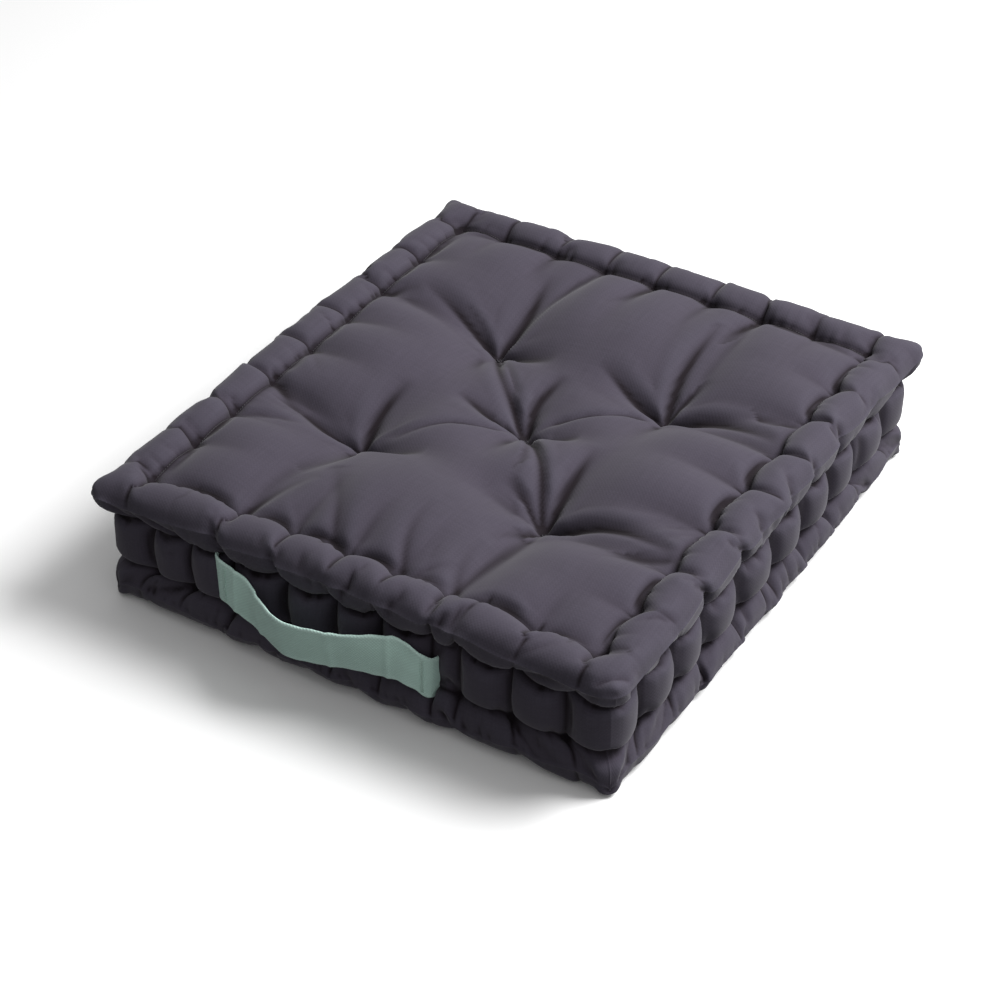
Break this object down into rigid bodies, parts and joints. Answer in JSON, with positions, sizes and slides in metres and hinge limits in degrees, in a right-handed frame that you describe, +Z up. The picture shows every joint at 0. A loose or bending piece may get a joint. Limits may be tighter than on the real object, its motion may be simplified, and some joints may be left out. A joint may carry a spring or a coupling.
{
  "type": "floor cushion",
  "caption": "Rectangular mattress-style floor cushion: tufted crowned top, rolled stitched edges, boxed sides and a webbing carrying handle on one side.",
  "frame": {"origin": "on the floor plane, at the middle of the footprint with the handle included; the cushion itself is centred 15.5 mm behind it", "axes": "+X along the side that carries the handle, +Y from the handle side to the back, +Z up"},
  "size_m": [0.45, 0.531, 0.114],
  "materials": {
    "cover": "matt plain-weave cotton",
    "wadding": "loose fibre wadding",
    "twine": "waxed cotton twine",
    "webbing": "matt woven cotton webbing"
  },
  "bodies": {
    "cushion": {"top_panel": "cover", "bottom_panel": "cover", "border_front": "cover", "border_right": "cover", "border_back": "cover", "border_left": "cover", "wadding": "wadding", "tuft_cord_centre": "twine", "tuft_cord_front_left": "twine", "tuft_cord_front_right": "twine", "tuft_cord_back_right": "twine", "tuft_cord_back_left": "twine", "edge_twine_top_front": "twine", "edge_twine_top_right": "twine", "edge_twine_top_back": "twine", "edge_twine_top_left": "twine", "edge_twine_bottom_front": "twine", "edge_twine_bottom_right": "twine", "edge_twine_bottom_back": "twine", "edge_twine_bottom_left": "twine", "handle_tab_left": "webbing", "handle_tab_right": "webbing", "handle_tack_left": "twine", "handle_tack_right": "twine"},
    "handle": {"handle_strap": "webbing"}
  },
  "joints": [
    {"name": "handle_swing", "type": "hinge", "parent": "cushion", "child": "handle", "pos_m": [-0.018, -0.2308, 0.052], "axis": [-1, 0, 0], "range_deg": [-35, 40]}
  ]
}
